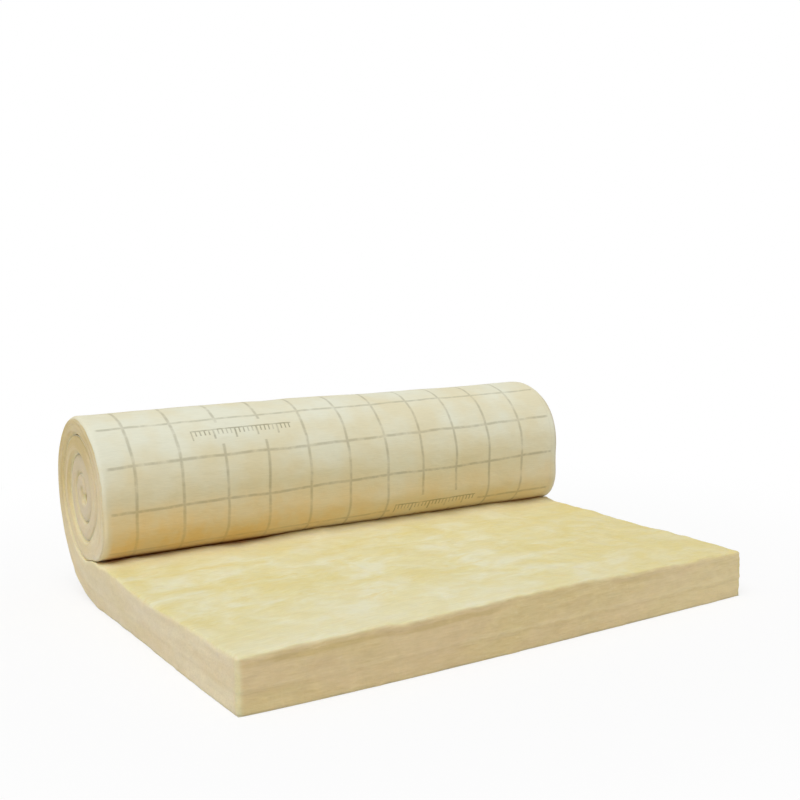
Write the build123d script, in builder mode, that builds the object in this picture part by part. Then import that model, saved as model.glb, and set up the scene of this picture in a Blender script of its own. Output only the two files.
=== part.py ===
"""Faced mineral wool blanket, partly unrolled: a spiral roll whose free end lies flat in front of it.

X runs along the roll's axis, Y from the cut front edge to the back, Z up from the floor.
The blanket is one continuous strip. It springs open to its full thickness where it lies flat,
and it is squeezed to less than half of that where it is still wound. Its facing is bonded to
the side that lies on the floor, so it is on the outside of every turn.
"""

import os

from build123d import *

# Driving sizes, in millimetres
blanket_width = 1200
opened_thickness = 100  # flat tail, wool and facing together
rolled_thickness = 40  # wool alone, squeezed between the turns
facing_thickness = 1
turn_slack = 1  # air between one turn's facing and the bare wool around it
core_radius = 20  # hollow left inside the innermost turn
fold_radius = 8  # bend of the bare face where the inner end folds into the core
full_turns = 3  # wound turns, without the folded inner end
tail_length = 780  # from the cut front edge to the roll's axis
sag_radius = 80  # bend at the foot of the roll's front, where its weight flattens it on the tail
bare_edge_radius = 6  # softened edges of the bare face

# The winding: half turns about two centres that lie half a pitch apart make a smooth spiral
pitch = rolled_thickness + facing_thickness + turn_slack
half_turns = 2 * full_turns
half_turn_step = pitch / 2
center_shift = half_turn_step / 2


def bare_radius(half_turn):
    """Radius of the wool's bare inner face on a half turn, counted from the core."""
    return core_radius + half_turn * half_turn_step


def faced_radius(half_turn, height):
    """Radius of the faced side on a half turn, for the layer at that height above the floor."""
    return bare_radius(half_turn) + rolled_thickness + facing_thickness - height


outer_radius = faced_radius(half_turns - 1, 0)
resting_radius = outer_radius - half_turn_step
back_reach = outer_radius + center_shift

# Places: the origin is under the middle of the whole object, on the floor
depth = tail_length + back_reach
front_y = -depth / 2
axis_y = front_y + tail_length
rest_z = opened_thickness + turn_slack
axis_z = rest_z + resting_radius
rise_y = axis_y + back_reach - axis_z  # where the tail leaves the floor
nip_y = axis_y - center_shift  # where the tail starts to curl up behind the roll
sag_front_y = nip_y - resting_radius

# The inner end stands level with the axis and folds back into the core
fold_back_y = nip_y + core_radius
fold_front_y = fold_back_y - 2 * fold_radius


def half_turn_center(half_turn):
    """Odd half turns are above the axis and lean to the back, even ones are below it."""
    shift = center_shift if half_turn % 2 else -center_shift
    return (axis_y + shift, axis_z)


def inner_end(height):
    """Point of the inner end on the layer at that height above the floor."""
    return (axis_y + center_shift - faced_radius(-1, height), axis_z)


def draw_half_turn(half_turn, radius):
    """One half circle of the winding, above the axis or below it."""
    start_angle = 0 if half_turn % 2 else 180
    CenterArc(half_turn_center(half_turn), radius, start_angle, 180)


def draw_sagged_half_turn(height):
    """The lower half of the outermost turn: upright front, tight foot, flat rest on the tail, round back."""
    foot_center = (sag_front_y + sag_radius, rest_z + sag_radius)
    Line((sag_front_y + height, axis_z), (sag_front_y + height, foot_center[1]))
    CenterArc(foot_center, sag_radius - height, 180, 90)
    Line((foot_center[0], rest_z + height), (nip_y, rest_z + height))
    CenterArc((nip_y, axis_z), resting_radius - height, 270, 90)


def draw_faced_side(height):
    """Flat tail, rise behind the roll and all the winding, on the layer at that height."""
    Line((front_y, height), (rise_y, height))
    CenterArc((rise_y, axis_z), axis_z - height, 270, 90)
    draw_half_turn(half_turns - 1, faced_radius(half_turns - 1, height))
    draw_sagged_half_turn(height)
    for half_turn in range(-1, half_turns - 2):
        draw_half_turn(half_turn, faced_radius(half_turn, height))


# Wool: one strip from the cut front edge to the folded inner end, with the hollow core inside it
with BuildPart() as wool_blanket:
    with BuildSketch(Plane.YZ.offset(-blanket_width / 2)):
        with BuildLine():
            draw_faced_side(facing_thickness)
            Line(inner_end(facing_thickness), (fold_front_y, axis_z))
            CenterArc((fold_back_y - fold_radius, axis_z), fold_radius, 0, 180)
            for half_turn in range(half_turns):
                draw_half_turn(half_turn, bare_radius(half_turn))
            CenterArc((nip_y, axis_z), resting_radius + turn_slack, 270, 90)
            Line((nip_y, opened_thickness), (front_y, opened_thickness))
            Line((front_y, opened_thickness), (front_y, facing_thickness))
        make_face()
    extrude(amount=blanket_width)

    # The bare face springs back from its cut edges, so every turn stands out on both ends
    turn_insides = wool_blanket.faces().filter_by(Face.is_circular_concave)
    tail_top = wool_blanket.faces().filter_by(Axis.Z).sort_by(Axis.Z)[1]
    bare_edges = turn_insides.edges() + tail_top.edges()
    end_edges = bare_edges.filter_by(Axis.X, reverse=True)
    front_edge = tail_top.edges().sort_by(Axis.Y)[0]
    fillet(end_edges + [front_edge], radius=bare_edge_radius)

wool_blanket.part.label = "wool_blanket"

# Facing: a thin veil over the whole faced side, from the cut front edge to the inner end
with BuildPart() as facing_veil:
    with BuildSketch(Plane.YZ.offset(-blanket_width / 2)):
        with BuildLine():
            draw_faced_side(0)
            draw_faced_side(facing_thickness)
            Line((front_y, 0), (front_y, facing_thickness))
            Line(inner_end(0), inner_end(facing_thickness))
        make_face()
    extrude(amount=blanket_width)

facing_veil.part.label = "facing_veil"

os.makedirs("parts", exist_ok=True)
for piece in (wool_blanket.part, facing_veil.part):
    export_step(piece, f"parts/{piece.label}.step")
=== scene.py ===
import bpy
import bmesh
import numpy as np
from mathutils import Matrix, Vector


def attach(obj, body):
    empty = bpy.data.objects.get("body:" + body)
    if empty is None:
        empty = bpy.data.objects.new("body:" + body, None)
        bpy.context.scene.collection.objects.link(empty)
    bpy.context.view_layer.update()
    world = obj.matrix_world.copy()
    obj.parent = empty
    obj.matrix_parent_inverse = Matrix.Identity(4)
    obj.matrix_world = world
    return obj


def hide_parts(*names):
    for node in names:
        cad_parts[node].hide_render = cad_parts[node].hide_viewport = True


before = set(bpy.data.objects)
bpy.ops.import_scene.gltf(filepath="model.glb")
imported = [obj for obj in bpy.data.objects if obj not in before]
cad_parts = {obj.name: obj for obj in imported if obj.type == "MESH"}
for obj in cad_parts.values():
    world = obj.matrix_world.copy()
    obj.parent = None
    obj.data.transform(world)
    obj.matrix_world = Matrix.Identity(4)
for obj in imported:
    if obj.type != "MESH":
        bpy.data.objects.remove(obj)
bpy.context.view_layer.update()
scene = bpy.context.scene

# sizes of the wound strip, the same as the solids', in metres
winding = {
    "width": 1.2,
    "opened": 0.100,  # thickness where it lies flat
    "rolled": 0.040,  # thickness where it is wound
    "facing": 0.001,  # thickness of the veil
    "slack": 0.001,  # between the turns
    "core": 0.020,  # radius of the hollow core
    "fold": 0.008,  # radius of the fold at the inner end
    "fullTurns": 3,
    "tail": 0.780,  # from the cut front to below the axis
    "sag": 0.080,  # corner radius of the flattened foot
}

halfWidth = winding["width"] / 2
halfStep = (winding["rolled"] + winding["facing"] + winding["slack"]) / 2  # inwards with each half turn
shift = halfStep / 2  # from the axis to the centres of the half turns
lastHalf = 2 * winding["fullTurns"] - 1  # the outermost half turn, above the axis
outerRadius = winding["core"] + lastHalf * halfStep + winding["rolled"] + winding["facing"]
restRadius = outerRadius - halfStep  # of the half turn that rests on the tail
frontY = -(winding["tail"] + outerRadius + shift) / 2
axisY = frontY + winding["tail"]
axisZ = winding["opened"] + winding["slack"] + restRadius
riseY = axisY + outerRadius + shift - axisZ  # where the strip leaves the floor
nipY = axisY - shift  # centre of the half turn that rests on the tail
tailLength = riseY - frontY
footLength = nipY - restRadius + winding["sag"] - frontY  # along the tail to where the foot is flat

# how the soft strip has settled, the same for both pieces: metres, and ranges in which a form comes or goes;
# phases count along the strip: 0 where the tail ends, 1 at the back, 1.5 on top, 2 in front, 2.5 at the foot
settling = {
    "bow": 0.012,  # the cut front bows out
    "bowSkew": 0.7,  # most a little to the left of its middle
    "bowReach": 0.25,  # and back to here behind it
    "slump": 0.010,  # the wound part is lower towards its right end
    "slumpAcross": (-0.4, halfWidth),
    "slumpUp": (0.11, 0.40),
    "lift": 0.011,  # the roll's foot is held up at its front, most at the left end
    "liftSkew": 1.6,
    "liftBack": (0.220, 0.285),
    "liftUp": (0.10, 0.31),
    "lean": 0.012,  # the right end leans out at its top
    "leanAcross": (0.3, halfWidth),
    "leanUp": (0.20, 0.40),
    "flare": 0.017,  # share by which the roll's front has spread, and the tail's top beside it
    "flareFront": (-0.40, 0.15),
    "flareBack": (0.17, 0.47),
    "flareFloor": -0.6,  # times that on the floor, where the strip is narrower
    "wound": (0.2, 0.8),  # phase from which the strip counts as wound
    "stagger": 0.0035,  # turns stand proud of one another on the ends
    "staggerRate": 2.6,
    "dish": 0.006,  # the ends are hollow towards the core
    "dishPhase": (1.8, 7.0),
    "rim": 0.012,  # radius of the outer turn's rims
    "rimFrom": (0.1, 0.6),
    "rimTo": (2.14, 2.30),
    "curl": 60,  # degrees that the facing curls over the rims
    "margin": 0.03,  # the shape of the ends and of the front cut goes this far in
}


# value noise: random numbers on a cubic lattice, eased from corner to corner, from -1 to 1
def smoothNoise(points, seed=0):
    cell = np.floor(points).astype(np.int64)
    part = points - cell
    ease = part ** 3 * (part * (part * 6 - 15) + 10)
    total = np.zeros(points.shape[:-1])
    for corner in np.ndindex(2, 2, 2):
        hashed = (cell + np.array(corner)) * np.array([73856093, 19349663, 83492791])
        code = hashed[..., 0] ^ hashed[..., 1] ^ hashed[..., 2] ^ (seed * 40503 + 977)
        code = ((code ^ (code >> 13)) * 1274126177) & 0xFFFFFFFF
        value = ((code ^ (code >> 15)) & 0xFFFF) / 32767.5 - 1
        weight = np.prod(np.where(np.array(corner) == 1, ease, 1 - ease), axis=-1)
        total += weight * value
    return total


# several octaves of value noise, each twice as fine and about half as strong
def cloudNoise(points, octaves=3, seed=0, fade=0.5):
    total, strength, norm = 0, 1.0, 0.0
    for octave in range(octaves):
        total = total + strength * smoothNoise(points * 2 ** octave + 17.3 * octave, seed + octave)
        norm += strength
        strength *= fade
    return total / norm


def ramp(value, low, high):  # eased step from 0 at low to 1 at high
    t = np.clip((value - low) / (high - low), 0, 1)
    return t * t * (3 - 2 * t)


def fall(value, low, high):  # eased step from 1 at low to 0 at high
    return 1 - ramp(value, low, high)


def bell(offset, width):  # 1 at no offset, and soon nothing beyond the width
    return np.exp(-(offset / width) ** 2)


def stack(*parts):  # coordinates as the last axis, broadcast together
    return np.stack(np.broadcast_arrays(*parts), axis=-1).astype(float)


def lengthAlong(points):  # running length of a row of points
    return np.concatenate([[0], np.cumsum(np.linalg.norm(np.diff(points, axis=0), axis=1))])


# points on a circle about the axis height, seen along X
def arcPoints(centerY, radius, degrees):
    angle = np.radians(degrees)
    return stack(centerY + radius * np.cos(angle), axisZ + radius * np.sin(angle))


# radius of a half turn's faced side, less a height above the facing's outer side
def facedRadius(half, height):
    return winding["core"] + half * halfStep + winding["rolled"] + winding["facing"] - height


# foot of the outermost turn: a ray from the half turn's centre meets a square corner
# that is rounded by the sag radius, and behind the axis a plain circle
def sagPoints(degrees, height):
    size, bend = restRadius - height, winding["sag"] - height
    angle = np.radians(degrees)
    c, s = np.abs(np.cos(angle)), np.abs(np.sin(angle))
    flat = size - bend
    straight = size / np.maximum(c, s)
    along = flat * (c + s)
    reach = along + np.sqrt(np.maximum(along ** 2 - (2 * flat ** 2 - bend ** 2), 0))
    corner = (straight * c > flat) & (straight * s > flat)
    reach = np.where(corner, reach, straight)
    reach = np.where(degrees > 270, size, reach)
    return stack(nipY + reach * np.cos(angle), axisZ + reach * np.sin(angle))


# rows along the strip, from the cut front edge to the inner end: the faced and the bare point of each row,
# the running length of the line midway between them, and the phase: -1 to 0 along the tail,
# then one more for the rise at the back and for each half turn
def stripRows(height, tailAt, risePieces, turnPieces):
    faced = [stack(frontY + tailAt, height)]
    bare = [stack(frontY + tailAt, winding["opened"])]
    phase = [tailAt / tailLength - 1]
    t = np.linspace(0, 1, risePieces + 1)[1:]
    faced.append(arcPoints(riseY, axisZ - height, 270 + 90 * t))
    bareRadius = restRadius + winding["slack"]
    toNip = nipY - riseY
    run = t * (toNip + bareRadius * np.pi / 2)
    turned = np.degrees(np.maximum(run - toNip, 0) / bareRadius)
    level = stack(riseY + np.minimum(run, toNip), winding["opened"])
    bare.append(np.where((run < toNip)[:, None], level, arcPoints(nipY, bareRadius, 270 + turned)))
    phase.append(t)
    for turn, pieces in enumerate(turnPieces):
        half = lastHalf - turn
        upper = half % 2 == 1
        center = axisY + (shift if upper else -shift)
        t = np.linspace(0, 1, pieces + 1)[1:]
        degrees = (0 if upper else 180) + 180 * t
        if half == lastHalf - 1:
            faced.append(sagPoints(degrees, height))
        else:
            faced.append(arcPoints(center, facedRadius(half, height), degrees))
        if half < 0:
            foldCenter = nipY + winding["core"] - winding["fold"]
            bare.append(arcPoints(foldCenter, winding["fold"], degrees))
        else:
            bare.append(arcPoints(center, winding["core"] + half * halfStep, degrees))
        phase.append(1 + turn + t)
    faced, bare = np.concatenate(faced), np.concatenate(bare)
    middle = lengthAlong((faced + bare) / 2)
    return {"faced": faced, "bare": bare, "middle": middle, "phase": np.concatenate(phase)}


def rimShare(phase):  # 1 where the facing curls over the roll's rims
    return ramp(phase, *settling["rimFrom"]) * fall(phase, *settling["rimTo"])


def endShare(x):  # 0 over most of the width, 1 at both ends
    return ramp(np.abs(x), halfWidth - settling["margin"], halfWidth)


# how far each turn's end stands out: slow noise along the strip, less towards the core
def endStagger(middle, phase, sideSign):
    slow = cloudNoise(stack(middle * settling["staggerRate"], sideSign * 5.0, 0.0), 2, 41)
    dish = settling["dish"] * ramp(phase, *settling["dishPhase"])
    return (slow * settling["stagger"] - dish) * ramp(phase, 0.0, 1.0)


def shareAcross(x):  # 0 at the left end, 1 at the right
    return np.clip((x + halfWidth) / winding["width"], 0, 1)


def footLift(x, y):  # falls to nothing at the right end, and towards the nip
    return settling["lift"] * (1 - shareAcross(x) ** settling["liftSkew"]) * fall(y, *settling["liftBack"])


# settled points: the front bows out as a skewed half wave, the roll slumps and leans out to the right,
# its foot is held up, and its front and the tail's top beside it are spread by a share of their width
def settle(points, phase):
    x, y, z = points.T
    wound = ramp(phase, *settling["wound"])
    bow = settling["bow"] * np.sin(np.pi * shareAcross(x) ** settling["bowSkew"])
    bow = bow * fall(y, frontY, frontY + settling["bowReach"])
    slump = settling["slump"] * ramp(x, *settling["slumpAcross"]) * ramp(z, *settling["slumpUp"]) * wound
    lean = settling["lean"] * ramp(x, *settling["leanAcross"]) * ramp(z, *settling["leanUp"]) * wound
    lift = footLift(x, y) * fall(z, *settling["liftUp"]) * wound
    upright = settling["flareFloor"] + (1 - settling["flareFloor"]) * ramp(z, 0, winding["opened"])
    flare = settling["flare"] * ramp(y, *settling["flareFront"]) * fall(y, *settling["flareBack"]) * upright
    return np.column_stack([x * (1 + flare) + lean, y - bow, z - slump + lift])


# joins patches of lattice keys (row, line, level) into one mesh: equal keys are one vertex
class Lattice:
    def __init__(self):
        self.quads, self.polygons = [], []

    def patch(self, rows, lines, levels):
        grid = np.stack(np.meshgrid(rows, lines, levels, indexing="ij"), axis=-1)
        grid = grid.reshape([n for n in grid.shape[:3] if n > 1] + [3])
        quad = np.stack([grid[:-1, :-1], grid[1:, :-1], grid[1:, 1:], grid[:-1, 1:]], axis=2)
        self.quads.append(quad.reshape(-1, 4, 3))

    def polygon(self, keys):
        self.polygons.append(np.array(keys))

    def solve(self):
        quads = np.concatenate(self.quads)
        every = np.concatenate([quads.reshape(-1, 3)] + self.polygons)
        keys, index = np.unique(every, axis=0, return_inverse=True)
        index = index.reshape(-1)
        quadIndex = index[: len(quads) * 4].reshape(-1, 4)
        rest, at = [], len(quads) * 4
        for polygon in self.polygons:
            rest.append(index[at: at + len(polygon)].tolist())
            at += len(polygon)
        return keys, quadIndex.tolist() + rest


# a piece at the origin, with its normals outwards and a number at each point for each named attribute
def makeMesh(name, points, faces, attributes, material):
    mesh = bpy.data.meshes.new(name)
    mesh.from_pydata(points.tolist(), [], faces)
    work = bmesh.new()
    work.from_mesh(mesh)
    bmesh.ops.recalc_face_normals(work, faces=work.faces)
    work.to_mesh(mesh)
    work.free()
    for label, values in attributes.items():
        layer = mesh.attributes.new(label, "FLOAT", "POINT")
        layer.data.foreach_set("value", np.ascontiguousarray(values, dtype=np.float32))
    mesh.shade_smooth()
    mesh.materials.append(material)
    piece = bpy.data.objects.new(name, mesh)
    scene.collection.objects.link(piece)
    print(name, len(mesh.vertices), "points", sum(len(f) - 2 for f in faces), "triangles")
    return piece


def newMaterial(name):
    material = bpy.data.materials.new(name)
    material.use_nodes = True
    tree = material.node_tree
    tree.nodes.clear()
    shader = tree.nodes.new("ShaderNodeBsdfPrincipled")
    output = tree.nodes.new("ShaderNodeOutputMaterial")
    tree.links.new(shader.outputs[0], output.inputs[0])
    return material, tree, shader


def setConstants(shader, constants):
    for label, value in constants.items():
        shader.inputs[label].default_value = value


def feed(tree, socket, value):  # link a socket, or set a constant
    if isinstance(value, bpy.types.NodeSocket):
        tree.links.new(value, socket)
    else:
        socket.default_value = value


def calc(tree, operation, a, b=0.0, c=0.0):
    node = tree.nodes.new("ShaderNodeMath")
    node.operation = operation
    for socket, value in zip(node.inputs, (a, b, c)):
        feed(tree, socket, value)
    return node.outputs[0]


def times(tree, a, b):
    return calc(tree, "MULTIPLY", a, b)


def larger(tree, a, b):
    return calc(tree, "MAXIMUM", a, b)


def less(tree, a, b):
    return calc(tree, "SUBTRACT", a, b)


def apart(tree, a, b):  # distance between two values
    return calc(tree, "ABSOLUTE", less(tree, a, b))


def spread(tree, value, fromLow, fromHigh, toLow=0.0, toHigh=1.0):  # eased map of one range to another
    node = tree.nodes.new("ShaderNodeMapRange")
    node.interpolation_type = "SMOOTHSTEP"
    for socket, given in zip(node.inputs, (value, fromLow, fromHigh, toLow, toHigh)):
        feed(tree, socket, given)
    return node.outputs[0]


def mixColor(tree, factor, a, b, blend="MIX"):
    node = tree.nodes.new("ShaderNodeMix")
    node.data_type = "RGBA"
    node.blend_type = blend
    feed(tree, node.inputs[0], factor)
    feed(tree, node.inputs[6], a)
    feed(tree, node.inputs[7], b)
    return node.outputs[2]


def colorRamp(tree, factor, stops):
    node = tree.nodes.new("ShaderNodeValToRGB")
    feed(tree, node.inputs[0], factor)
    band = node.color_ramp
    while len(band.elements) < len(stops):
        band.elements.new(0.5)
    for element, (at, color) in zip(band.elements, stops):
        element.position = at
        element.color = color
    return node.outputs[0]


def shaded(tree, color, factor, stops):  # a colour times a ramp of near whites
    return mixColor(tree, 1.0, color, colorRamp(tree, factor, stops), "MULTIPLY")


def noiseTexture(tree, vector, scale, detail=2.0, rough=0.5, twist=0.0):
    node = tree.nodes.new("ShaderNodeTexNoise")
    feed(tree, node.inputs["Vector"], vector)
    setConstants(node, {"Scale": scale, "Detail": detail, "Roughness": rough, "Distortion": twist})
    return node.outputs[0]


def stretched(tree, vector, scale, turn=0.0):  # coordinates turned about Z, then scaled
    node = tree.nodes.new("ShaderNodeMapping")
    feed(tree, node.inputs["Vector"], vector)
    setConstants(node, {"Rotation": (0, 0, np.radians(turn)), "Scale": scale})
    return node.outputs[0]


def attributeValue(tree, label):
    node = tree.nodes.new("ShaderNodeAttribute")
    node.attribute_name = label
    return node.outputs["Fac"]


def onPlane(tree, x, y, rates=(1.0, 1.0)):  # two values as coordinates, each times its rate
    node = tree.nodes.new("ShaderNodeCombineXYZ")
    for socket, value, rate in zip(node.inputs, (x, y), rates):
        feed(tree, socket, times(tree, value, rate))
    return node.outputs[0]


def objectCoords(tree):
    return tree.nodes.new("ShaderNodeTexCoord").outputs["Object"]


def splitCoords(tree, vector):  # the X, Y and Z of coordinates
    node = tree.nodes.new("ShaderNodeSeparateXYZ")
    tree.links.new(vector, node.inputs[0])
    return node.outputs


def bump(tree, shader, height, strength, distance):
    node = tree.nodes.new("ShaderNodeBump")
    setConstants(node, {"Strength": strength, "Distance": distance})
    feed(tree, node.inputs["Height"], height)
    tree.links.new(node.outputs[0], shader.inputs["Normal"])


def paint(red, green, blue):  # an 8-bit colour as the shader's linear one
    c = np.array([red, green, blue]) / 255
    linear = np.where(c <= 0.04045, c / 12.92, ((c + 0.055) / 1.055) ** 2.4)
    return (*linear.tolist(), 1.0)


# fine fibres that lie flat in the blanket: the mean of three stretched noises, turned against each other
def fibrePattern(tree, place, fine):
    total = 0.0
    for turn in (8, 68, 127):
        thread = stretched(tree, place, (fine * 0.1, fine, fine), turn)
        total = calc(tree, "ADD", noiseTexture(tree, thread, 1.0, 2.0, 0.6, 0.4), total)
    return times(tree, total, 1 / 3)


# metres; ranges are lengths along the strip unless they say otherwise
wool = {
    "step": 0.0050,  # grid step on the tail's top
    "levels": 24,  # steps through the thickness below the softened edge
    "edge": 0.008,  # softened bare edges
    "softSteps": (0, 0.12, 0.32, 0.62),  # grid lines in these, as shares
    "coarseLines": (0.008, 0.014, 0.020, 0.05, 0.2, 0.4),  # lines kept on the wound part, from the ends
    "facedLines": (0.014, 0.05, 0.2, 0.4),  # and on the faced side
    "turnPieces": (90, 84, 60, 48, 36, 28, 20),
    "risePieces": 60,
    "lump": 0.0040,  # broad lumps of the bare face
    "lumpRate": 8.0,
    "tuft": 0.0016,  # small tufts of the bare face
    "tuftRate": 38.0,
    "fold": 0.0014,  # low folds of the felted skin
    "foldRate": 15.0,
    "reliefEnd": (0.672, 0.704),  # these end at the roll's foot
    "reliefDepth": 0.07,  # and move the wool down to here
    "crown": 0.010,  # the tail is thicker in its middle
    "crownSkew": 2.4,
    "crownLoss": 0.45,  # and less so near the roll
    "crownEnd": (0.30, 0.62),
    "lip": 0.0100,  # the tail swells in front of the roll, most at the left
    "lipSkew": 1.2,
    "lipFrom": (0.40, 0.62),
    "bolster": 0.0065,  # the tail swells against the roll's foot, from mid-width to the right
    "bolsterLeft": 0.25,  # times that at the left
    "bolsterAcross": (-0.30, -0.10),
    "bolsterFrom": (0.62, 0.675),
    "nip": 0.0016,  # the tail stays clear of the roll's foot by this at the left
    "nipRight": 0.12,  # times that at the right
    "nipAcross": (-0.35, -0.05),
    "nipEnd": (0.718, 0.763),
    "underEnd": (0.2, 0.3),  # phase behind which the tail's top isn't lifted with the foot
    "pressFrom": (0.65, 0.68),  # the roll's foot presses the soft edge square
    "pressTo": (0.77, 0.82),
    "sunk": 0.003,  # the outer turn's faced side stays below the veil
    "strata": 0.0014,  # layers that show on the cut faces
    "strataRate": (20.0, 11.0),
    "ragged": 0.0024,  # unevenness of the cuts
    "raggedRate": (26.0, 4.0),
    "ply": 0.0009,  # a ridge and a furrow between two plies
    "ridgeDepth": 0.57,
    "furrowDepth": 0.66,
    "skin": 0.0022,  # the bare skin overhangs the front cut
    "skinDepth": 0.016,
    "trim": 0.001,  # the cuts are set back by this
    "opening": (0.04, 0.09),  # thickness from wound to open
    "groove": 0.0040,  # grooves between the turns on the ends
    "grooveFaced": (2.40, 2.55),  # phase from which there is one at the faced side
    "skinTone": 0.010,  # depth of the bare side's colour
    "bareColors": ((0.34, paint(220, 206, 144)), (0.49, paint(223, 213, 162)), (0.64, paint(227, 222, 188))),
    "wispColor": paint(221, 202, 130),
    "frontColor": paint(229, 225, 196),
    "footLightColor": paint(240, 229, 190),  # painted light, paler in front of the roll's foot against the shade there
    "cutColors": ((0.30, paint(217, 195, 142)), (0.50, paint(222, 202, 151)), (0.70, paint(227, 209, 160))),
    "roseColor": paint(224, 201, 162),
    "seamColor": paint(232, 215, 170),
    "slitColor": paint(232, 219, 188),
    "deepColor": paint(204, 180, 121),
    "coreColor": paint(214, 197, 164),
    "nipShadeColor": paint(226, 156, 34),  # painted shade deep in the nip under the roll
    "seamDepth": 0.62,  # a pale seam on the cuts, as a share of the thickness
    "shadeDepth": 0.24,  # shade under the skin of the front cut
    "pullShades": ((0.3, (0.965, 0.963, 0.955, 1)), (0.7, (1.02, 1.02, 1.02, 1))),
    "fibreShades": ((0.35, (0.93, 0.925, 0.90, 1)), (0.65, (1.04, 1.04, 1.04, 1))),
    "fibreRate": 300.0,
    "surface": {"Roughness": 0.95, "Specular IOR Level": 0.1, "Sheen Weight": 0.12, "Sheen Roughness": 0.6,
                "Subsurface Weight": 0.30, "Subsurface Radius": (1.0, 0.75, 0.35), "Subsurface Scale": 0.015},
    "bump": (0.55, 0.0025),  # strength and height
}


# the bare side: mottled yellow with wisps, paler at the front cut, yellower at the right and towards the
# roll, with painted light just in front of the roll's foot and painted shade in the nip under it
def bareColor(tree, place, onX, onY):
    cloud = noiseTexture(tree, stretched(tree, place, (9, 13, 9), -10), 1.0, 4.0, 0.6, 0.5)
    color = colorRamp(tree, cloud, wool["bareColors"])
    wisp = noiseTexture(tree, stretched(tree, place, (13, 24, 13), 12), 1.0, 4.0, 0.6, 0.8)
    color = mixColor(tree, spread(tree, wisp, 0.56, 0.74, 0.0, 0.55), color, wool["wispColor"])
    atFront = spread(tree, onY, -0.47, -0.22, 0.45, 0.0)
    atLeft = spread(tree, onX, -0.5, 0.4, 1.0, 0.2)
    color = mixColor(tree, times(tree, atFront, atLeft), color, wool["frontColor"])
    atRight = spread(tree, onX, 0.0, 0.65, 0.0, 0.50)
    towardsRoll = spread(tree, onY, -0.05, 0.20, 0.0, 0.30)
    color = mixColor(tree, larger(tree, atRight, towardsRoll), color, wool["wispColor"])
    # painted light just in front of the roll's foot, against its shade
    color = mixColor(tree, spread(tree, onY, 0.10, 0.175, 0.0, 0.65), color, wool["footLightColor"])
    # painted shade in the nip under the roll, short of the ends
    offEnds = spread(tree, calc(tree, "ABSOLUTE", onX), 0.57, 0.59, 1.0, 0.0)
    inNip = times(tree, spread(tree, onY, 0.180, 0.210), offEnds)
    return mixColor(tree, inNip, color, wool["nipShadeColor"])


# the cuts: tan layers that wander up and down along the strip, a pale seam, rosier lengths,
# pale slit ends, a deeper tone on the wound part's back and top, shade under the skin, and short pulls
def cutColor(tree, onX, along, depth, strata, bent):
    slit, wound, core = (attributeValue(tree, label) for label in ("slit", "wound", "core"))
    color = colorRamp(tree, strata, wool["cutColors"])
    offSeam = apart(tree, bent, wool["seamDepth"])
    color = mixColor(tree, spread(tree, offSeam, 0.012, 0.05, 0.45, 0.0), color, wool["seamColor"])
    broad = noiseTexture(tree, onPlane(tree, along, depth, (4.0, 1.0)), 1.0, 2.0)
    color = mixColor(tree, spread(tree, broad, 0.35, 0.65, 0.0, 0.6), color, wool["roseColor"])
    patches = noiseTexture(tree, onPlane(tree, along, depth, (5.0, 2.0)), 1.0, 3.0)
    slitShare = times(tree, slit, spread(tree, patches, 0.3, 0.65, 0.35, 0.8))
    color = mixColor(tree, slitShare, color, wool["slitColor"])
    woundShare = times(tree, wound, spread(tree, patches, 0.36, 0.64, 0.95, 0.40))
    color = mixColor(tree, woundShare, color, wool["deepColor"])
    color = mixColor(tree, times(tree, core, 0.8), color, wool["coreColor"])
    # painted shade under the skin of the front cut, in patches and faint on the slit ends
    underSkin = spread(tree, apart(tree, bent, wool["shadeDepth"]), 0.02, 0.07, 1.0, 0.0)
    frayed = times(tree, underSkin, spread(tree, patches, 0.42, 0.58, 0.0, 0.5))
    frayed = times(tree, frayed, spread(tree, slit, 0.0, 0.8, 1.0, 0.1))
    color = mixColor(tree, frayed, color, wool["deepColor"])
    pulls = noiseTexture(tree, onPlane(tree, along, depth, (32.0, 3.0)), 1.0, 3.0, 0.5, 1.2)
    color = shaded(tree, color, pulls, wool["pullShades"])
    lighter = spread(tree, onX, 0.0, 0.6, 0.0, 0.5)  # at the right
    return mixColor(tree, lighter, color, wool["seamColor"])


def woolMaterial():
    material, tree, shader = newMaterial("bare_wool")
    place = objectCoords(tree)
    parts = splitCoords(tree, place)
    along, depth = attributeValue(tree, "along"), attributeValue(tree, "depth")
    drift = noiseTexture(tree, onPlane(tree, along, depth, (7.0, 1.0)), 1.0, 2.0, 0.5)
    bent = calc(tree, "MULTIPLY_ADD", drift, 0.12, depth)
    strata = noiseTexture(tree, onPlane(tree, along, bent, (22.0, 9.0)), 1.0, 5.0, 0.62, 0.9)
    bare = bareColor(tree, place, parts["X"], parts["Y"])
    cut = cutColor(tree, parts["X"], along, depth, strata, bent)
    color = mixColor(tree, attributeValue(tree, "tone"), cut, bare)
    fibre = fibrePattern(tree, place, wool["fibreRate"])
    feed(tree, shader.inputs["Base Color"], shaded(tree, color, fibre, wool["fibreShades"]))
    setConstants(shader, wool["surface"])
    tufts = noiseTexture(tree, place, 70.0, 3.0, 0.6, 0.5)
    height = times(tree, calc(tree, "ADD", fibre, tufts), 0.8)
    bump(tree, shader, calc(tree, "MULTIPLY_ADD", strata, 0.4, height), *wool["bump"])
    return material


# the outer lines, the middle one, and those nearest to some distances from the ends
def chosenLines(xs, outer, insets):
    last = len(xs) - 1
    near = [np.abs(xs - side * (halfWidth - d)).argmin() for d in insets for side in (1, -1)]
    return np.unique(np.concatenate([np.arange(outer), last - np.arange(outer), [last // 2], near]))


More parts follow.
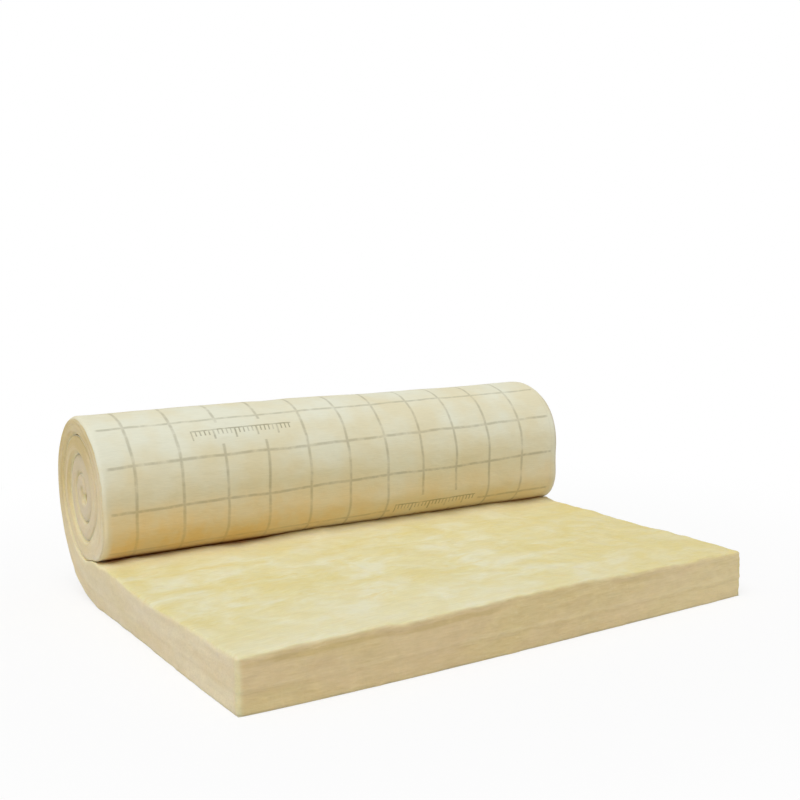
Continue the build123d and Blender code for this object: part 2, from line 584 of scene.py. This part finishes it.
# the strip as a box lattice (row along, line across, level through the depth) whose skin is kept:
# fine on the tail, coarse where it is wound and on the faced side, joined by polygons
def woolSkin(xs, tailRow, lastRow, bottom):
    coarse = chosenLines(xs, len(wool["softSteps"]), wool["coarseLines"])
    sparse = chosenLines(xs, 1, wool["facedLines"])
    rows, lines, levels = np.arange(lastRow + 1), np.arange(len(xs)), np.arange(bottom + 1)
    lattice = Lattice()
    lattice.patch(rows[: tailRow + 1], lines, [0])
    lattice.patch(rows[tailRow + 1:], coarse, [0])
    lattice.patch([0], lines, levels)
    lattice.patch([lastRow], coarse, levels)
    for end in (0, lines[-1]):
        lattice.patch(rows, [end], levels)
    lattice.patch(rows[1:-1], sparse, [bottom])
    for a, b in zip(coarse[:-1], coarse[1:]):
        fine = [(tailRow, j, 0) for j in range(a, b + 1)]
        lattice.polygon(fine + [(tailRow + 1, b, 0), (tailRow + 1, a, 0)])
    for a, b in zip(sparse[:-1], sparse[1:]):
        front = [(0, j, bottom) for j in range(a, b + 1)]
        lattice.polygon(front + [(1, b, bottom), (1, a, bottom)])
        inner = [(lastRow, j, bottom) for j in coarse if a <= j <= b]
        lattice.polygon(inner + [(lastRow - 1, b, bottom), (lastRow - 1, a, bottom)])
    return lattice.solve()


# softened edges: what lies beyond the inner box is pulled onto a rounded one, but not under the roll's foot
def softened(s, x, e):
    edge = wool["edge"]
    ds = np.maximum(edge - s, 0)
    dx = np.maximum(np.abs(x) - (halfWidth - edge), 0)
    de = np.maximum(edge - e, 0)
    size = np.sqrt(ds ** 2 + dx ** 2 + de ** 2)
    skin = edge * 0.999
    onSkin = np.maximum(np.maximum(ds, dx), de) > skin
    pull = np.where(onSkin, edge / np.maximum(size, skin), 1.0)
    pressed = ramp(s, *wool["pressFrom"]) * fall(s, *wool["pressTo"])
    pull = pull + (1 - pull) * pressed
    sNew = np.where(ds > 0, edge - ds * pull, s)
    xNew = np.where(dx > 0, np.sign(x) * (halfWidth - edge + dx * pull), x)
    eNew = np.where(de > 0, edge - de * pull, e)
    return sNew, xNew, eNew


# how far the bare face rises: lumps, tufts and folds with a crown and a lip on the tail, the foot's own lift
# under it, and a swell against it, but no more than the room below the foot, which rises as an arc
def bareRise(x, s, e, at, y):
    onTail = fall(s, *wool["reliefEnd"])
    flatPoint = stack(x, s, 0.0)
    lumps = cloudNoise(flatPoint * wool["lumpRate"], 3, 11) * wool["lump"]
    tufts = cloudNoise(flatPoint * wool["tuftRate"], 2, 12) * wool["tuft"]
    folds = (1 - np.abs(cloudNoise(flatPoint * wool["foldRate"], 2, 13))) ** 3 - 0.4
    crown = wool["crown"] * (1 - np.abs(x / halfWidth) ** wool["crownSkew"])
    crown = crown * (1 - wool["crownLoss"] * ramp(s, *wool["crownEnd"]))
    lip = wool["lip"] * (1 - shareAcross(x) ** wool["lipSkew"]) * ramp(s, *wool["lipFrom"])
    clear = wool["nipRight"] + (1 - wool["nipRight"]) * fall(x, *wool["nipAcross"])
    clear = wool["nip"] * clear * fall(s, *wool["nipEnd"])
    under = (footLift(x, y) - clear * (1 - endShare(x))) * fall(at, *wool["underEnd"])
    rise = (lumps + tufts + folds * wool["fold"] + crown + lip) * onTail + under * (1 - onTail)
    swell = wool["bolsterLeft"] + (1 - wool["bolsterLeft"]) * ramp(x, *wool["bolsterAcross"])
    rise = rise + wool["bolster"] * swell * ramp(s, *wool["bolsterFrom"]) * onTail
    ahead = np.clip(footLength - s, 0, winding["sag"])
    room = winding["sag"] - np.sqrt(winding["sag"] ** 2 - ahead ** 2) + footLift(x, y) - clear
    rise = np.where((ahead < winding["sag"]) & (at < 0), np.minimum(rise, room), rise)
    return rise * fall(e, 0, wool["reliefDepth"])


# relief of the cut faces: thin layers, ragged noise, and a ridge and a furrow between two plies;
# and apart from it how far a skin overhangs, as a furrow below it that comes and goes
def cutRelief(along, depth, e, openShare):
    layerRate, depthRate = wool["strataRate"]
    layers = cloudNoise(stack(along * layerRate, depth * depthRate, 0.0), 3, 21, 0.6) * wool["strata"]
    cutRate, depthRate = wool["raggedRate"]
    ragged = cloudNoise(stack(along * cutRate, depth * depthRate, 3.0), 3, 22) * wool["ragged"]
    wander = cloudNoise(stack(along * 6.0, 0.0, 9.0), 2, 23)
    ridge = bell(depth - wool["ridgeDepth"] - 0.03 * wander, 0.05)
    furrow = bell(depth - wool["furrowDepth"] - 0.03 * wander, 0.04)
    relief = (layers + ragged) * (0.3 + 0.7 * openShare) + (ridge - 1.2 * furrow) * wool["ply"] * openShare
    skin = -bell(e - wool["skinDepth"] - 0.004 * wander, 0.007) * (0.6 + 0.6 * wander)
    return relief, skin * wool["skin"] * openShare


def makeWool():
    edge = wool["edge"]
    soft = edge * np.array(wool["softSteps"])
    tailAt = np.concatenate([soft, np.linspace(edge, tailLength, int(tailLength / wool["step"]))])
    strip = stripRows(winding["facing"], tailAt, wool["risePieces"], wool["turnPieces"])
    faced, bare, middle, phase = (strip[k] for k in ("faced", "bare", "middle", "phase"))
    inner = np.linspace(-(halfWidth - edge), halfWidth - edge, int(winding["width"] / wool["step"]))
    xs = np.concatenate([-halfWidth + soft, inner, halfWidth - soft[::-1]])
    tailRow, softLevels = len(tailAt) - 1, len(soft)
    keys, faces = woolSkin(xs, tailRow, len(faced) - 1, softLevels + wool["levels"])

    # at each point: length along, place across, phase, thickness there, and depth below the bare face
    row, line, level = keys.T
    s, x, at = middle[row], xs[line], phase[row]
    thick = np.linalg.norm(faced - bare, axis=1)[row]
    softDepth = np.concatenate([soft, np.zeros(wool["levels"] + 1)])[level]
    deeper = np.maximum((level - softLevels) / wool["levels"], 0)
    e = np.where(level < softLevels, softDepth, edge + (thick - edge) * deeper)
    depth = e / thick
    along = s + x
    nearEnd, openShare = endShare(x), ramp(thick, *wool["opening"])
    sNew, xNew, eNew = softened(s, x, e)

    # the outer turn's rims are rounded under the facing, and all of its faced side stays below it
    rimDrop = settling["rim"] * (1 - np.cos(np.radians(settling["curl"])))
    drop = rimDrop * ramp(np.abs(x), halfWidth - settling["rim"], halfWidth) + wool["sunk"] * (1 - nearEnd)
    eNew = eNew - drop * rimShare(at) * ramp(depth, 0.5, 1.0)

    # the ends and the front cut get the cuts' relief, the ends also grooves between turns that stand proud
    relief, overhang = cutRelief(along, depth, e, openShare)
    beside = np.where(depth > 0.5, ramp(at, *wool["grooveFaced"]), 1.0)  # no groove at the rim itself
    grooves = wool["groove"] * np.abs(2 * depth - 1) ** 3 * ramp(at, 0.0, 1.0) * beside
    ends = relief * (1 - 0.4 * openShare) + overhang * 0.2 - grooves - wool["trim"]
    xNew = xNew + np.sign(x) * (ends + endStagger(s, at, np.sign(x))) * nearEnd
    frontPush = (relief + overhang - wool["trim"]) * fall(s, 0, settling["margin"])

    rise = bareRise(x, s, e, at, bare[row, 0])
    outward = (bare[row] - faced[row]) / thick[:, None]
    place = bare[row] + outward * (rise - eNew)[:, None]
    place[:, 0] += np.where(row <= tailRow, sNew - s - frontPush, 0)
    points = settle(np.column_stack([xNew, place]), at)

    # what the material reads: the bare side's tone, slit ends, the wound part's back and top, and the core
    tone = np.where(level == 0, 1.0, fall(e, 0, wool["skinTone"]))
    tone = np.where((line == 0) | (line == len(xs) - 1) | (row == 0), tone * 0.6, tone)
    tone = np.maximum(tone, 0.7 * fall(np.hypot(s, halfWidth - np.abs(x)), 0.005, 0.011))
    # painted highlight: the slit ends are paler along the outer turn's rim
    rimHighlight = ramp(depth, 0.80, 0.93) * ramp(at, 1.0, 1.6) * fall(at, 2.4, 2.5)
    paler = np.maximum(np.maximum(openShare, rimHighlight), ramp(at, 3.5, 6.5))
    slit = (0.42 + 0.58 * paler) * nearEnd * ramp(s, 0.0, 0.02)
    backTop = ramp(0.6 * (place[:, 0] - axisY) + place[:, 1] - axisZ, -0.06, 0.10)
    wound = ramp(at, 0.5, 1.0) * backTop * nearEnd
    core = ramp(at, 3.2, 5.5) * nearEnd
    masks = {"along": along, "depth": depth, "tone": tone, "slit": slit, "wound": wound, "core": core}
    piece = makeMesh("wool_blanket_mesh", points, faces, masks, woolMaterial())
    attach(piece, "root")
    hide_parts("wool_blanket")


makeWool()

# metres; pairs are ranges
veil = {
    "lineStep": 0.012,  # grid step across
    "tailStep": 0.014,  # and along the tail
    "risePieces": 60,
    "turnPieces": (96, 80, 48, 40, 32, 24, 18),
    "curlSteps": (0.25, 0.5, 0.75, 1.0),  # grid lines on the curled margins, as shares
    "swell": 0.0022,  # broad unevenness of the roll under the veil
    "swellRate": 5.0,
    "pucker": 0.0010,  # small puckers
    "puckerRate": (14.0, 30.0, 1.0),
    "freeFrom": (0.3, 0.9),  # phases between which the veil lies open on the roll
    "freeTo": (2.13, 2.38),
    "coil": (2.35, 2.60),  # phase from which it lies between the turns
    "fray": 0.0008,  # unevenness of its long edges
    "tuckTail": 0.0030,  # the veil ends inside the wool's edges under the tail
    "tuckCoil": 0.0050,  # and between the turns
    "tuckRim": 0.0015,
    "gridStep": 0.100,
    "gridAcross": 0.079,  # first printed line, from the left end
    "gridAlong": 0.038,  # shift of the lines that run across the strip
    "gridEnd": (0.030, 0.020),  # the print ends this far from the ends
    "lineWidth": 0.0062,
    "rowSlant": 0.019,  # printed rows fall to the left, share of the width
    "rowCenter": -0.10,
    "hoopLean": 0.023,  # printed hoops lean to the right above the foot, for each half turn
    "hoopCenter": 2.09,  # phase at which they are in place
    "hoopPhase": (1.3, 2.5),
    "hoopAcross": (-0.65, -0.1),
    "hoopBulge": 0.005,  # and they lie further right at mid-width
    "hoopReach": 0.42,
    "ink": 0.34,
    "scaleAlong": 0.25,  # a plain tick scale is printed once in this length
    "scaleFirst": -0.048,
    "scaleAcross": 0.215,  # its start across, and how far every other one is moved on
    "scaleMove": 0.490,
    "scaleLength": 0.235,
    "scaleHeight": 0.060,
    "scaleClear": 0.012,  # no grid lines beside it
    "scaleInk": 1.7,  # times the ink of the grid
    "shortTicks": (0.010, 0.0030),  # step and width
    "shortSpan": (0.022, 0.035),
    "longTicks": (0.050, 0.0040),
    "longSpan": (0.022, 0.046),
    "barSpan": (0.0188, 0.0222),
    "palest": paint(230, 229, 208),
    "warmest": paint(227, 219, 187),
    "bounceShadeColor": paint(239, 196, 110),  # painted warm shade of light bounced off the tail, round the foot and the rise
    "inkColor": paint(112, 98, 50),
    "nipShadeColor": paint(226, 154, 32),  # painted shade deep in the nip under the roll
    "fleeceShades": ((0.36, (0.955, 0.955, 0.945, 1)), (0.64, (1.02, 1.02, 1.02, 1))),
    "fleeceRate": 420.0,
    "surface": {"Roughness": 0.80, "Specular IOR Level": 0.2, "Sheen Weight": 0.1},
    "bump": (0.4, 0.0022),  # strength and height
}


def ruled(tree, value, first, step, width):  # 1 on a printed line, 0 between lines, soft at the edges
    cell = calc(tree, "DIVIDE", less(tree, value, first), step)
    off = times(tree, calc(tree, "PINGPONG", cell, 0.5), step)
    return spread(tree, off, width * 0.2, width * 0.8, 1.0, 0.0)


def within(tree, value, low, high):  # 1 between two values
    return times(tree, calc(tree, "GREATER_THAN", value, low), calc(tree, "LESS_THAN", value, high))


# a bar with short and long ticks, once in each length of the veil, and moved across at every other one;
# with it goes the field round it that the grid leaves free
def tickScale(tree, along, across):
    count = calc(tree, "DIVIDE", less(tree, along, veil["scaleFirst"]), veil["scaleAlong"])
    down = times(tree, calc(tree, "FRACT", count), veil["scaleAlong"])
    odd = calc(tree, "FLOORED_MODULO", calc(tree, "FLOOR", count), 2.0)
    over = less(tree, less(tree, across, veil["scaleAcross"]), times(tree, odd, veil["scaleMove"]))
    short = times(tree, ruled(tree, over, 0.0, *veil["shortTicks"]), within(tree, down, *veil["shortSpan"]))
    long = times(tree, ruled(tree, over, 0.0, *veil["longTicks"]), within(tree, down, *veil["longSpan"]))
    ticks = larger(tree, larger(tree, short, long), within(tree, down, *veil["barSpan"]))
    end, clear = veil["scaleLength"], veil["scaleClear"]
    field = times(tree, within(tree, over, -clear, end + clear), within(tree, down, 0.0, veil["scaleHeight"]))
    onScale = times(tree, within(tree, over, -0.001, end + 0.001), field)
    return times(tree, times(tree, ticks, veil["scaleInk"]), onScale), field


# the print: square grid lines that end short of the ends, and the tick scales
def printShare(tree, along, across):
    scale, field = tickScale(tree, along, across)
    hoops = ruled(tree, across, veil["gridAcross"], veil["gridStep"], veil["lineWidth"])
    rows = ruled(tree, along, veil["gridAlong"], veil["gridStep"], veil["lineWidth"])
    lines = times(tree, larger(tree, hoops, rows), less(tree, 1.0, field))
    fadeFrom, fadeTo = (halfWidth - inset for inset in veil["gridEnd"])
    offEnds = spread(tree, apart(tree, across, halfWidth), fadeFrom, fadeTo, 1.0, 0.0)
    return larger(tree, times(tree, lines, offEnds), scale)


def veilMaterial():
    material, tree, shader = newMaterial("printed_veil")
    place = objectCoords(tree)
    sway = noiseTexture(tree, place, 4.0, 2.0, 0.5)
    waver = noiseTexture(tree, place, 17.0, 2.0, 0.5)
    stray = calc(tree, "MULTIPLY_ADD", sway, 0.012, times(tree, waver, 0.004))
    stray = less(tree, stray, 0.008)  # the veil isn't laid quite straight
    along = calc(tree, "ADD", attributeValue(tree, "along"), stray)
    across = less(tree, attributeValue(tree, "across"), stray)
    wear = noiseTexture(tree, place, 38.0, 3.0, 0.6)
    faded = times(tree, printShare(tree, along, across), spread(tree, wear, 0.25, 0.62, 0.25, 1.0))
    # painted warm bounce shade on the roll's lower front and the rise; the print is fainter under it
    bounceShadeMask = attributeValue(tree, "bounceShade")
    faded = times(tree, faded, spread(tree, bounceShadeMask, 0.3, 1.0, 1.0, 0.35))
    cloud = noiseTexture(tree, place, 7.0, 4.0, 0.55)
    base = colorRamp(tree, cloud, ((0.38, veil["warmest"]), (0.62, veil["palest"])))
    thin = noiseTexture(tree, place, 19.0, 3.0, 0.6)
    bounceShade = times(tree, bounceShadeMask, spread(tree, thin, 0.32, 0.68, 1.0, 0.70))
    base = mixColor(tree, bounceShade, base, veil["bounceShadeColor"])
    # painted shade deep in the nip under the roll
    base = mixColor(tree, attributeValue(tree, "nip"), base, veil["nipShadeColor"])
    color = mixColor(tree, times(tree, faded, veil["ink"]), base, veil["inkColor"])
    fleece = fibrePattern(tree, place, veil["fleeceRate"])
    feed(tree, shader.inputs["Base Color"], shaded(tree, color, fleece, veil["fleeceShades"]))
    setConstants(shader, veil["surface"])
    crumple = noiseTexture(tree, stretched(tree, place, (16, 40, 40)), 1.0, 3.0, 0.6, 0.6)
    bump(tree, shader, calc(tree, "MULTIPLY_ADD", crumple, 1.6, times(tree, fleece, 0.35)), *veil["bump"])
    return material


# a thin closed sheet: rows along the strip, lines across it, an outer and an inner level
def veilSkin(rowCount, lineCount):
    rows, lines = np.arange(rowCount), np.arange(lineCount)
    lattice = Lattice()
    for level in (0, 1):
        lattice.patch(rows, lines, [level])
    for line in (0, lines[-1]):
        lattice.patch(rows, [line], [0, 1])
    for row in (0, rows[-1]):
        lattice.patch([row], lines, [0, 1])
    return lattice.solve()


# how strong the painted warm bounce shade is: more towards the roll's foot and the rise at the back,
# less to the right and at the ends
def bounceShadeShare(w, at):
    front = (0.25 * ramp(at, 1.75, 2.10) + 0.54 * ramp(at, 1.98, 2.20)) * fall(at, 2.7, 2.9)
    back = (0.3 * fall(at, 0.85, 1.25) + 0.7 * fall(at, 0.35, 0.75)) * ramp(at, -0.2, 0.1)
    offEnds = 1 - 0.6 * ramp(np.abs(w), halfWidth - 0.03, halfWidth - 0.008)
    return (front + back) * (1 - 0.45 * ramp(w, -0.45, 0.3)) * offEnds


# where each point is on the print: a little askew, rows by a share of the width,
# hoops on the outer turn by a lean that grows with the phase and a bulge at mid-width
def printPlace(w, s, at):
    onRoll = ramp(at, 0.0, 1.0) * fall(at, 2.6, 3.0)
    lean = veil["hoopLean"] * (veil["hoopCenter"] - np.clip(at, *veil["hoopPhase"]))
    bulge = veil["hoopBulge"] * (1 - (w / veil["hoopReach"]) ** 2)
    slip = lean * ramp(w, *veil["hoopAcross"]) + bulge
    return s + veil["rowSlant"] * (w - veil["rowCenter"]), w + halfWidth - slip * onRoll


# the sheet on the faced side: its margins curl over the rims of the outer turn as an arc and stay inside
# the wool elsewhere, and between them it swells and puckers where it lies open
def makeVeil():
    tailAt = np.linspace(0, tailLength, int(tailLength / veil["tailStep"]))
    strip = stripRows(0.0, tailAt, veil["risePieces"], veil["turnPieces"])
    outer, middle, phase = (strip[k] for k in ("faced", "middle", "phase"))
    inner = stripRows(winding["facing"], tailAt, veil["risePieces"], veil["turnPieces"])["faced"]
    rowLength = lengthAlong(outer)
    arc = settling["rim"] * np.radians(settling["curl"])
    plain = np.linspace(-(halfWidth - arc), halfWidth - arc, int(winding["width"] / veil["lineStep"]))
    curl = halfWidth - arc + arc * np.array(veil["curlSteps"])
    ws = np.concatenate([-curl[::-1], plain, curl])
    keys, faces = veilSkin(len(outer), len(ws))
    row, line, level = keys.T
    w, s, at = ws[line], rowLength[row], phase[row]
    rim, coil, nearEnd = rimShare(at), ramp(at, *veil["coil"]), endShare(w)

    turned = np.maximum(np.abs(w) - (halfWidth - arc), 0) / settling["rim"]
    curled = np.abs(w) - settling["rim"] * (turned - np.sin(turned))
    inset = settling["rim"] * (1 - np.cos(turned)) * rim
    tuck = veil["tuckCoil"] * coil + veil["tuckTail"] * (1 - coil) * (1 - rim) + veil["tuckRim"] * rim
    frayed = cloudNoise(stack(s * 60.0, w * 3.0, 0.0), 2, 33) * veil["fray"]
    ends = (frayed - tuck + endStagger(middle[row], at, np.sign(w))) * nearEnd
    wide = np.abs(w) * (1 - rim) + curled * rim + ends

    free = ramp(at, *veil["freeFrom"]) * fall(at, *veil["freeTo"])
    flatPoint = stack(w, s, 0.0)
    swell = cloudNoise(flatPoint * veil["swellRate"], 2, 31) * veil["swell"]
    pucker = cloudNoise(flatPoint * np.array(veil["puckerRate"]), 2, 32) * veil["pucker"]
    push = (swell + pucker) * free * (1 - nearEnd) - inset
    outward = (outer[row] - inner[row]) / winding["facing"]
    place = np.where((level == 0)[:, None], outer[row], inner[row]) + outward * push[:, None]
    place[:, 0] += veil["tuckTail"] * fall(s, 0, settling["margin"])
    points = settle(np.column_stack([np.sign(w) * wide, place]), at)

    printAlong, printAcross = printPlace(w, s, at)
    # painted shade in the nip under the roll's foot, short of the ends
    nip = ramp(at, 2.27, 2.33) * fall(at, 2.65, 2.75) * (1 - nearEnd)
    masks = {"along": printAlong, "across": printAcross, "bounceShade": bounceShadeShare(w, at), "nip": nip}
    piece = makeMesh("facing_veil_mesh", points, faces, masks, veilMaterial())
    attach(piece, "root")
    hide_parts("facing_veil")
    print("veil flat length", round(float(rowLength[-1]), 3))


makeVeil()

studio = {
    "cameraAt": (-1.35437, -2.16750, 0.74825),
    "yaw": 32.547,  # degrees from +Y towards +X
    "pitch": 7.090,  # degrees down
    "roll": -0.800,
    "sensor": 36.0,
    "focal": 52.5465,
    "skyRim": 0.15,  # strength of the pale room at the horizon and overhead
    "skyTop": 0.60,
    "sunFrom": (-0.36, -0.25, 0.90),
    "sunStrength": 1.86,
    "sunAngle": 50,  # degrees, for soft shadows
    "floorReach": 12.0,
    "floorColor": (0.90, 0.90, 0.90, 1.0),
    "floorWhite": 0.72,  # share of plain white seen near the object
    "floorFade": (0.6, 1.8),  # and all white beyond
}


def makeCamera():
    data = bpy.data.cameras.new("photo_camera")
    data.sensor_fit = "HORIZONTAL"
    data.sensor_width = studio["sensor"]
    data.lens = studio["focal"]
    camera = bpy.data.objects.new("photo_camera", data)
    scene.collection.objects.link(camera)
    yaw, pitch, roll = (np.radians(studio[k]) for k in ("yaw", "pitch", "roll"))
    ahead = np.array([np.sin(yaw) * np.cos(pitch), np.cos(yaw) * np.cos(pitch), -np.sin(pitch)])
    side = np.cross(ahead, [0, 0, 1])
    side /= np.linalg.norm(side)
    up = np.cross(side, ahead)
    right = side * np.cos(roll) + up * np.sin(roll)
    top = -side * np.sin(roll) + up * np.cos(roll)
    turn = np.eye(4)
    turn[:3] = np.column_stack([right, top, -ahead, studio["cameraAt"]])
    camera.matrix_world = Matrix(turn.tolist())
    scene.camera = camera


# a pale floor that takes the shadow, seen whiter the further it lies from the object
def makeFloor():
    mesh = bpy.data.meshes.new("floor")
    r = studio["floorReach"]
    mesh.from_pydata([(-r, -r, 0), (r, -r, 0), (r, r, 0), (-r, r, 0)], [], [(0, 1, 2, 3)])
    material, tree, shader = newMaterial("pale_floor")
    setConstants(shader, {"Base Color": studio["floorColor"], "Roughness": 1.0, "Specular IOR Level": 0.0})
    output = next(n for n in tree.nodes if n.type == "OUTPUT_MATERIAL")
    glow = tree.nodes.new("ShaderNodeEmission")
    glow.inputs["Color"].default_value = (1, 1, 1, 1)
    seen = tree.nodes.new("ShaderNodeLightPath").outputs["Is Camera Ray"]
    distance = tree.nodes.new("ShaderNodeVectorMath")
    distance.operation = "LENGTH"
    tree.links.new(objectCoords(tree), distance.inputs[0])
    white = spread(tree, distance.outputs["Value"], *studio["floorFade"], studio["floorWhite"], 1.0)
    mix = tree.nodes.new("ShaderNodeMixShader")
    tree.links.new(times(tree, seen, white), mix.inputs[0])
    tree.links.new(shader.outputs[0], mix.inputs[1])
    tree.links.new(glow.outputs[0], mix.inputs[2])
    tree.links.new(mix.outputs[0], output.inputs[0])
    mesh.materials.append(material)
    floor = bpy.data.objects.new("floor", mesh)
    scene.collection.objects.link(floor)


# the room is pale overhead and dimmer at the horizon, and plain white where it is seen
def makeLight():
    world = bpy.data.worlds.new("pale_room")
    scene.world = world
    world.use_nodes = True
    tree = world.node_tree
    tree.nodes.clear()
    path = tree.nodes.new("ShaderNodeLightPath").outputs
    bounced = larger(tree, path["Is Glossy Ray"], path["Is Transmission Ray"])
    seen = larger(tree, path["Is Camera Ray"], bounced)
    above = splitCoords(tree, tree.nodes.new("ShaderNodeTexCoord").outputs["Generated"])["Z"]
    dome = tree.nodes.new("ShaderNodeMapRange")
    for socket, given in zip(dome.inputs, (above, 0.0, 1.0, studio["skyRim"], studio["skyTop"])):
        feed(tree, socket, given)
    sky = tree.nodes.new("ShaderNodeBackground")
    sky.inputs["Color"].default_value = (1, 1, 1, 1)
    tree.links.new(larger(tree, seen, dome.outputs[0]), sky.inputs["Strength"])
    output = tree.nodes.new("ShaderNodeOutputWorld")
    tree.links.new(sky.outputs[0], output.inputs[0])
    data = bpy.data.lights.new("soft_sun", "SUN")
    data.energy = studio["sunStrength"]
    data.angle = np.radians(studio["sunAngle"])
    sun = bpy.data.objects.new("soft_sun", data)
    scene.collection.objects.link(sun)
    sun.rotation_euler = (-Vector(studio["sunFrom"])).to_track_quat("-Z", "Y").to_euler()


makeCamera()
makeFloor()
makeLight()
scene.view_settings.view_transform = "Standard"
print("studio made")
